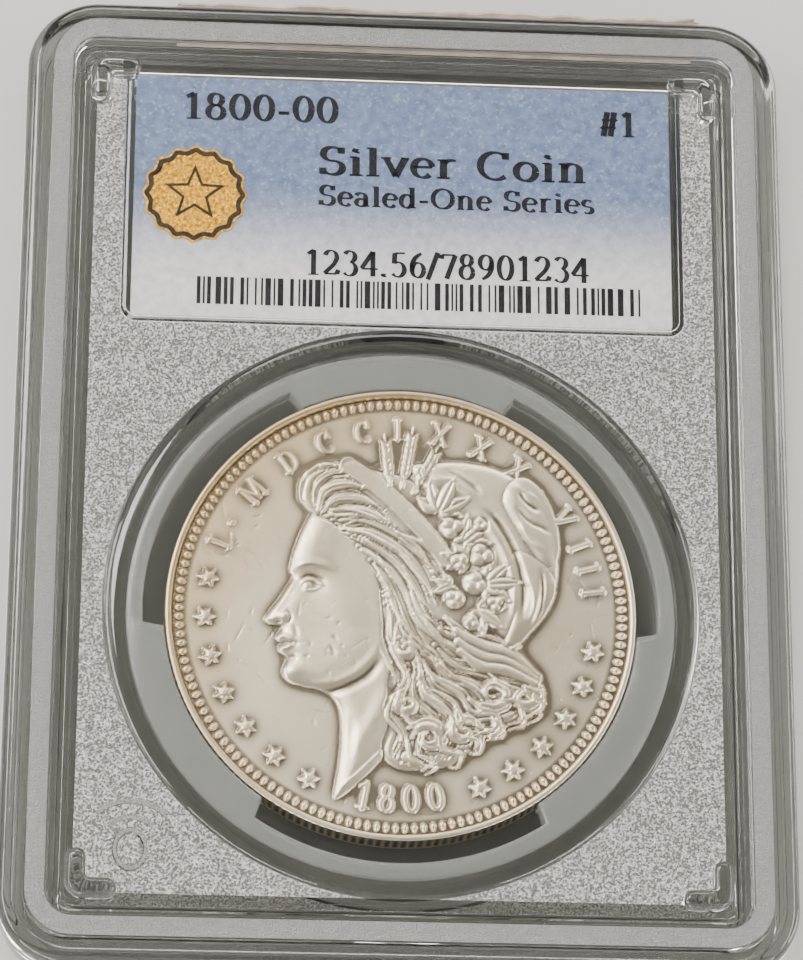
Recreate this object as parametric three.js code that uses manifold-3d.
// Graded coin slab: a coin in a clear gasket ring, with a printed label and a contactless tag,
// between two clear half-shells welded round their edges.
// Millimetres. The slab lies on its back: +Z out of the front face, +Y towards the label,
// origin at the middle of the base.

import * as THREE from 'three';
import { mergeVertices } from 'three/addons/utils/BufferGeometryUtils.js';
import Module from 'manifold-3d';

const wasm = await Module();
wasm.setup();

// ---- driving dimensions ----

// slab
const slabWidth = 63.4;
const slabHeight = 83.1;
const slabThickness = 7.9;
const slabCornerRadius = 6;
const edgeRounding = 0.9;

// the steps from the outer edge to the panel, the same on both faces
const flangeWidth = 2.05;
const flangeDrop = 1;
const rimWidth = 1.92;
const rimRounding = 0.2;
const ledgeWidth = 1.93;
const ledgeDrop = 1.05;
const ledgeCornerRadius = 1.9;
const panelDrop = 1.4;
const panelCornerRadius = 1;

// inside of the shells
const sideWall = 5;
const pocketWall = 1;
const cavityCornerRadius = 1.4;
const bayRoof = 1.25;

// weld joint
const tongueInset = 2.6;
const tongueWidth = 0.8;
const tongueHeight = 0.6;
const tongueClearance = 0.15;
const weldGap = 0.06;

// coin
const coinDiameter = 38.1;
const coinThickness = 2.4;
const coinRimWidth = 0.65;
const coinRimHeight = 0.3;
const coinReeds = 180;
const coinReedDepth = 0.12;
const starRadius = 0.78;
const starHeight = 0.14;
const starCircleInset = 3.25;
const leftStars = { count: 7, start: 170.6, end: 242.6 };
const rightStars = { count: 6, start: 349.3, end: 293.8 };

// gasket ring
const ringWidth = 3;
const ringWindowDepth = 1.65;
const ringWindowAngle = 70;
const ringWindowRounding = 0.5;
const ringWindows = 3;
const ringWindowStart = 30;
const coinHeadroom = 0.15;
const coinClearance = 0.12;
const ringClearance = 0.2;
const ringHeadroom = 0.1;

// clear boss over the coin
const bossHeight = 0.55;
const bossBevel = 1.2;
const bossOverlap = 1.95;
const bossBandOverlap = 0.1;

// label
const labelThickness = 0.28;
const labelSideMargin = 3.25;
const labelTopMargin = 0.18;
const labelBossGap = 1.23;
const labelClearance = 0.2;
const labelWindowBorder = 0.85;
const labelWindowBottomBorder = 1.15;
const labelWindowBevel = 0.55;
const labelWindowHeight = 0.25;
const labelWindowCornerRadius = 1.4;
const labelWindowSeat = 0.01;
const labelPocketHeight = 1.3;
const sheetGap = 0.05;

// foil pieces, sized by the label's height
const foilThickness = 0.05;
const sealShare = 0.405;
const sealScallops = 16;
const sealScallopDepth = 0.3;
const sealSideInset = 0.7;
const sealRise = 0.12;
const backFoilShare = 0.414;

// contactless tag
const filmThickness = 0.1;
const filmMargin = 1.6;
const coilThickness = 0.05;
const coilTurns = 5;
const coilPitchShare = 0.0368;
const coilMargin = 0.8;
const chipSize = 1.3;
const chipThickness = 0.2;
const chipGap = 1.5;

// corner lugs
const lugInset = 5.35;
const lugLength = 3.9;
const lugWidth = 1.85;
const lugHeight = 1.1;
const lugRounding = 0.25;
const lugCornerRadius = 0.8;

// embossed wave mark in the lower left of the panel
const markSide = 4.5;
const markRise = 4.05;
const markHeight = 0.12;
const markLine = 0.3;
const markArcs = [{ radius: 3.6, half: 44 }, { radius: 2.3, half: 42 }];
const markDotRadius = 0.9;

// paper strip stuck along the top edge
const stripLength = 44.8;
const stripHeight = 4.6;
const stripThickness = 0.8;
const stripShift = 2.8;
const stripForward = 0.35;
const stripGap = 0.05;
const stripRounding = 0.2;

// roundness
const cornerSteps = 6;
const smallSteps = 3;
const arcSteps = 10;
const circleSteps = 72;
const roundingSteps = 2;

// how far a raised detail runs into the wall that carries it, and how far a cut runs past its face
const sink = 0.2;
const over = 1;

// ---- derived values ----

const midPlane = slabThickness / 2;
const coinRadius = coinDiameter / 2;
const ringInner = coinRadius + coinClearance;
const ringOuter = ringInner + ringWidth;
const coinPocketRadius = ringOuter + ringClearance;
const coinPocketHalf = coinThickness / 2 + coinHeadroom;
const ringHalf = coinPocketHalf - ringHeadroom;
const bossRadius = ringOuter + bossOverlap;
const panelInset = flangeWidth + rimWidth + ledgeWidth;
const panelBottom = -slabHeight / 2 + panelInset;
const panelTop = slabHeight / 2 - panelInset;
const coinY = panelBottom - bossBandOverlap + bossRadius;

const labelWidth = slabWidth - 2 * (panelInset + labelSideMargin);
const labelTop = panelTop - labelTopMargin;
const labelBottom = coinY + bossRadius + labelBossGap;
const labelHeight = labelTop - labelBottom;
const labelY = (labelTop + labelBottom) / 2;
const sealDiameter = sealShare * labelHeight;
const backFoilSize = backFoilShare * labelHeight;
const coilPitch = coilPitchShare * labelHeight;
const coilTrack = coilPitch / 2;
const labelPocketTop = midPlane + labelPocketHeight / 2;
const labelPocketBottom = midPlane - labelPocketHeight / 2;
const labelFace = labelPocketTop - sheetGap - foilThickness - sheetGap;
const backLabelFace = labelPocketBottom + sheetGap + foilThickness + sheetGap;
const filmTop = labelFace - labelThickness - sheetGap;
const coilTop = filmTop - filmThickness;

const frontFace = slabThickness;
const originShift = -(stripGap + stripThickness) / 2;

// ---- shapes and solids ----

function roundedRect(width, height, radius) {
  const x = width / 2;
  const y = height / 2;
  const r = Math.min(radius, x, y);
  const shape = new THREE.Shape();
  shape.absarc(x - r, -y + r, r, -Math.PI / 2, 0);
  shape.absarc(x - r, y - r, r, 0, Math.PI / 2);
  shape.absarc(-x + r, y - r, r, Math.PI / 2, Math.PI);
  shape.absarc(-x + r, -y + r, r, Math.PI, Math.PI * 1.5);
  shape.closePath();
  return shape;
}

function polygon(points) {
  return new THREE.Shape(points.map(([x, y]) => new THREE.Vector2(x, y)));
}

// an outline whose corners lie on two circles in turn
function toothed(count, outer, inner) {
  return polygon(Array.from({ length: count * 2 }, (unused, i) => {
    const angle = i * Math.PI / count;
    const radius = i % 2 ? inner : outer;
    return [radius * Math.cos(angle), radius * Math.sin(angle)];
  }));
}

function insetRect(inset, radius) {
  return roundedRect(slabWidth - 2 * inset, slabHeight - 2 * inset, radius);
}

function prism(shape, low, high, rounding = 0, steps = cornerSteps) {
  const geometry = new THREE.ExtrudeGeometry(shape, {
    depth: high - low - 2 * rounding,
    bevelEnabled: rounding > 0,
    bevelThickness: rounding,
    bevelSize: rounding,
    bevelOffset: -rounding,
    bevelSegments: roundingSteps,
    curveSegments: steps,
  });
  geometry.translate(0, 0, low + rounding);
  return geometry;
}

function disc(radius, low, high, topRadius = radius) {
  const geometry = new THREE.CylinderGeometry(topRadius, radius, high - low, circleSteps);
  geometry.rotateX(Math.PI / 2);
  geometry.translate(0, 0, (low + high) / 2);
  return geometry;
}

function solid(geometry, x = 0, y = 0) {
  const bare = geometry.clone();
  bare.deleteAttribute('normal');
  bare.deleteAttribute('uv');
  bare.translate(x, y, 0);
  const merged = mergeVertices(bare, 1e-4);
  return new wasm.Manifold(new wasm.Mesh({
    numProp: 3,
    vertProperties: new Float32Array(merged.attributes.position.array),
    triVerts: new Uint32Array(merged.index.array),
  }));
}

function piece(name, body, material) {
  const data = body.getMesh();
  const geometry = new THREE.BufferGeometry();
  geometry.setAttribute('position', new THREE.BufferAttribute(data.vertProperties, 3));
  geometry.setIndex(new THREE.BufferAttribute(data.triVerts, 1));
  geometry.computeVertexNormals();
  const mesh = new THREE.Mesh(geometry, material);
  mesh.name = name;
  return mesh;
}

function finish(color, roughness, metalness = 0, opacity = 1) {
  return new THREE.MeshStandardMaterial({
    color, roughness, metalness, opacity, transparent: opacity < 1,
  });
}

// turns a solid made on the front half over onto the back half
function onBack(body) {
  return body.rotate([0, 180, 0]).translate([0, 0, slabThickness]);
}

// ---- shells ----

function slabBlank() {
  const flange = solid(prism(insetRect(0, slabCornerRadius),
    flangeDrop, slabThickness - flangeDrop, edgeRounding));
  const rimRadius = slabCornerRadius - flangeWidth;
  const rim = solid(prism(insetRect(flangeWidth, rimRadius), 0, slabThickness, rimRounding));
  return flange.add(rim);
}

// the step down from the rim to the ledge and from the ledge to the panel
function faceRecess() {
  const ledge = solid(prism(insetRect(flangeWidth + rimWidth, ledgeCornerRadius),
    frontFace - ledgeDrop, frontFace + over));
  const panel = solid(prism(insetRect(panelInset, panelCornerRadius),
    frontFace - panelDrop, frontFace + over));
  return ledge.add(panel);
}

function coinBoss() {
  const foot = frontFace - panelDrop;
  return solid(disc(bossRadius, foot - sink, foot + bossHeight, bossRadius - bossBevel), 0, coinY);
}

// a clear pad with a bevelled border, which runs into the ledge above the label
function labelWindow() {
  const low = frontFace - panelDrop - labelWindowHeight;
  const width = labelWidth + 2 * labelWindowBorder;
  const bottom = labelBottom - labelWindowBottomBorder;
  const top = panelTop + ledgeWidth / 2;
  const pad = new THREE.ExtrudeGeometry(roundedRect(width, top - bottom, labelWindowCornerRadius), {
    depth: labelWindowSeat,
    bevelThickness: labelWindowHeight,
    bevelSize: labelWindowBevel,
    bevelOffset: -labelWindowBevel,
    bevelSegments: 1,
    curveSegments: cornerSteps,
  });
  pad.translate(0, (top + bottom) / 2, low + labelWindowHeight);
  return solid(pad);
}

function lug() {
  const foot = frontFace - panelDrop - sink;
  const arm = roundedRect(lugLength, lugWidth, lugCornerRadius);
  const across = solid(prism(arm, foot, foot + sink + lugHeight, lugRounding, smallSteps),
    lugLength / 2, lugWidth / 2);
  const up = solid(prism(roundedRect(lugWidth, lugLength, lugCornerRadius), foot,
    foot + sink + lugHeight, lugRounding, smallSteps), lugWidth / 2, lugLength / 2);
  return across.add(up).translate([lugInset - slabWidth / 2, lugInset - slabHeight / 2, 0]);
}

function cornerLugs() {
  const first = lug();
  const pair = first.add(first.mirror([1, 0, 0]));
  return pair.add(pair.mirror([0, 1, 0]));
}

function waveMark() {
  const foot = frontFace - panelDrop;
  const x = -slabWidth / 2 + panelInset + markSide;
  const y = panelBottom + markRise;
  const dot = new THREE.Shape().absarc(0, 0, markDotRadius, 0, Math.PI * 2);
  let mark = solid(prism(dot, foot - sink, foot + markHeight, 0, arcSteps), x, y);
  for (const arc of markArcs) {
    const from = THREE.MathUtils.degToRad(90 - arc.half);
    const to = THREE.MathUtils.degToRad(90 + arc.half);
    const band = new THREE.Shape();
    band.absarc(0, 0, arc.radius + markLine / 2, from, to);
    band.absarc(0, 0, arc.radius - markLine / 2, to, from, true);
    band.closePath();
    mark = mark.add(solid(prism(band, foot - sink, foot + markHeight, 0, arcSteps), x, y));
  }
  return mark;
}

// what both half-shells share, as one solid of the slab's full thickness
function bothFaces() {
  const recess = faceRecess();
  const raised = coinBoss().add(labelWindow());
  const blank = slabBlank().subtract(recess).subtract(onBack(recess));
  return blank.add(raised).add(onBack(raised));
}

// room for the coin ring, the label stack, and the empty bays round them
function insideRoom() {
  const coinRoom = solid(disc(coinPocketRadius, midPlane - coinPocketHalf,
    midPlane + coinPocketHalf), 0, coinY);
  const labelRoom = solid(prism(roundedRect(labelWidth + 2 * labelClearance,
    labelHeight + 2 * labelClearance, 0), labelPocketBottom, labelPocketTop), 0, labelY);
  const bayFloor = panelDrop + bayRoof;
  const bays = solid(prism(insetRect(sideWall, cavityCornerRadius),
    bayFloor, slabThickness - bayFloor));
  const coinWall = solid(disc(coinPocketRadius + pocketWall, 0, slabThickness), 0, coinY);
  const wallSize = 2 * (labelClearance + pocketWall);
  const labelWall = solid(prism(roundedRect(labelWidth + wallSize, labelHeight + wallSize, 0),
    0, slabThickness), 0, labelY);
  return coinRoom.add(labelRoom).add(bays.subtract(coinWall).subtract(labelWall));
}

function weldRing(extra, low, high) {
  const outer = tongueInset - extra;
  const inner = tongueInset + tongueWidth + extra;
  const outside = solid(prism(insetRect(outer, slabCornerRadius - outer), low, high));
  const inside = solid(prism(insetRect(inner, slabCornerRadius - inner), low - over, high + over));
  return outside.subtract(inside);
}

// a block that holds everything between two heights
function layer(low, high) {
  return solid(prism(insetRect(-over, 0), low, high));
}

const clear = finish(0xd8dcd6, 0.15, 0, 0.45);
const wholeSlab = bothFaces().subtract(insideRoom());

function frontShell() {
  const half = wholeSlab.intersect(layer(midPlane + weldGap / 2, slabThickness + over));
  const groove = weldRing(tongueClearance, midPlane, midPlane + tongueHeight + tongueClearance);
  return half.subtract(groove).add(cornerLugs()).add(waveMark());
}

function backShell() {
  const half = wholeSlab.intersect(layer(-over, midPlane - weldGap / 2));
  return half.add(weldRing(0, midPlane - weldGap - sink, midPlane + tongueHeight));
}

// ---- coin and ring ----

function coinBody() {
  const low = midPlane - coinThickness / 2;
  const high = midPlane + coinThickness / 2;
  const fieldRadius = coinRadius - coinReedDepth - coinRimWidth;
  const reeded = toothed(coinReeds, coinRadius, coinRadius - coinReedDepth);
  let coin = solid(prism(reeded, low, high), 0, coinY);
  coin = coin.subtract(solid(disc(fieldRadius, high - coinRimHeight, high + over), 0, coinY));
  coin = coin.subtract(solid(disc(fieldRadius, low - over, low + coinRimHeight), 0, coinY));
  const field = high - coinRimHeight;
  const star = prism(toothed(6, starRadius, starRadius / Math.sqrt(3)), field - sink,
    field + starHeight);
  for (const run of [leftStars, rightStars]) {
    for (let i = 0; i < run.count; i += 1) {
      const turn = run.start + (run.end - run.start) * i / (run.count - 1);
      const angle = THREE.MathUtils.degToRad(turn);
      const reach = coinRadius - starCircleInset;
      const x = reach * Math.cos(angle);
      coin = coin.add(solid(star, x, coinY + reach * Math.sin(angle)));
    }
  }
  return coin;
}

function windowShape(middle) {
  const half = ringWindowAngle / 2;
  const from = THREE.MathUtils.degToRad(middle - half);
  const to = THREE.MathUtils.degToRad(middle + half);
  const outer = ringInner + ringWindowDepth;
  const turn = ringWindowRounding / outer;
  const shape = new THREE.Shape();
  const corner = (radius, angle) => [radius * Math.cos(angle), radius * Math.sin(angle)];
  shape.moveTo(...corner(coinRadius - over, from));
  shape.lineTo(...corner(outer - ringWindowRounding, from));
  shape.quadraticCurveTo(...corner(outer, from), ...corner(outer, from + turn));
  shape.absarc(0, 0, outer, from + turn, to - turn);
  shape.quadraticCurveTo(...corner(outer, to), ...corner(outer - ringWindowRounding, to));
  shape.lineTo(...corner(coinRadius - over, to));
  shape.closePath();
  return shape;
}

function gasketRing() {
  const low = midPlane - ringHalf;
  const high = midPlane + ringHalf;
  let ring = solid(disc(ringOuter, low, high));
  ring = ring.subtract(solid(disc(ringInner, low - over, high + over)));
  for (let i = 0; i < ringWindows; i += 1) {
    const middle = ringWindowStart + i * 360 / ringWindows;
    const opening = prism(windowShape(middle), low - over, high + over, 0, arcSteps);
    ring = ring.subtract(solid(opening));
  }
  return ring.translate([0, coinY, 0]);
}

// ---- label, foil and tag ----

function sheet(width, height, top, thickness, x = 0, y = labelY) {
  return solid(prism(roundedRect(width, height, 0), top - thickness, top), x, y);
}

function labelSeal() {
  const bottom = labelFace + sheetGap;
  const radius = sealDiameter / 2;
  const shape = toothed(sealScallops, radius, radius - sealScallopDepth);
  const x = -labelWidth / 2 + sealSideInset + radius;
  return solid(prism(shape, bottom, bottom + foilThickness), x, labelY + sealRise);
}

// one flat track that winds inwards in right angles; each corner has an outer and an inner point
function coilShape() {
  const halfX = labelWidth / 2 - filmMargin - coilMargin - coilTrack / 2;
  const halfY = labelHeight / 2 - filmMargin - coilMargin - coilTrack / 2;
  const outer = [];
  const inner = [];
  for (let turn = 0; turn < coilTurns; turn += 1) {
    const inset = turn * coilPitch;
    const before = Math.max(turn - 1, 0) * coilPitch;
    const corners = [[-1, -1, before, inset], [1, -1, inset, inset], [1, 1, inset, inset],
      [-1, 1, inset, inset]];
    for (const [sideX, sideY, insetX, insetY] of corners) {
      const x = halfX - insetX;
      const y = halfY - insetY;
      outer.push([sideX * (x + coilTrack / 2), sideY * (y + coilTrack / 2)]);
      inner.push([sideX * (x - coilTrack / 2), sideY * (y - coilTrack / 2)]);
    }
  }
  return polygon([...outer, ...inner.reverse()]);
}

function tagCoil() {
  return solid(prism(coilShape(), coilTop - sheetGap - coilThickness, coilTop - sheetGap), 0, labelY);
}

function tagChip() {
  const innerTrack = filmMargin + coilMargin + coilTrack + (coilTurns - 2) * coilPitch;
  const reach = innerTrack + chipGap + chipSize / 2;
  const x = -labelWidth / 2 + reach;
  return sheet(chipSize, chipSize, coilTop - sheetGap, chipThickness, x);
}

function edgeStrip() {
  const shape = roundedRect(stripLength, stripThickness, stripRounding);
  const low = midPlane + stripForward - stripHeight / 2;
  const y = slabHeight / 2 + stripGap + stripThickness / 2;
  return solid(prism(shape, low, low + stripHeight, 0, smallSteps), stripShift, y);
}

// ---- assembly ----

const paper = finish(0xa9b3c6, 0.8);
const slab = new THREE.Group();
slab.add(
  piece('front_shell', frontShell(), clear),
  piece('back_shell', backShell(), clear.clone()),
  piece('coin_ring', gasketRing(), finish(0xc9cdc8, 0.25, 0, 0.6)),
  piece('coin', coinBody(), finish(0xc4b89f, 0.32, 1)),
  piece('front_label', sheet(labelWidth, labelHeight, labelFace, labelThickness), paper),
  piece('label_seal', labelSeal(), finish(0xb08d3c, 0.45, 0.8)),
  piece('back_label', sheet(labelWidth, labelHeight, backLabelFace + labelThickness,
    labelThickness), paper.clone()),
  piece('back_foil', sheet(backFoilSize, backFoilSize, backLabelFace - sheetGap, foilThickness),
    finish(0xb9bdc4, 0.25, 0.9)),
  piece('nfc_film', sheet(labelWidth - 2 * filmMargin, labelHeight - 2 * filmMargin, filmTop,
    filmThickness), finish(0xdedbd0, 0.4, 0, 0.8)),
  piece('nfc_antenna', tagCoil(), finish(0xc2c4c6, 0.35, 0.9)),
  piece('nfc_chip', tagChip(), finish(0x1c1c1e, 0.4)),
  piece('edge_strip', edgeStrip(), finish(0xb3a699, 0.85)),
);
slab.position.y = originShift;

export default slab;
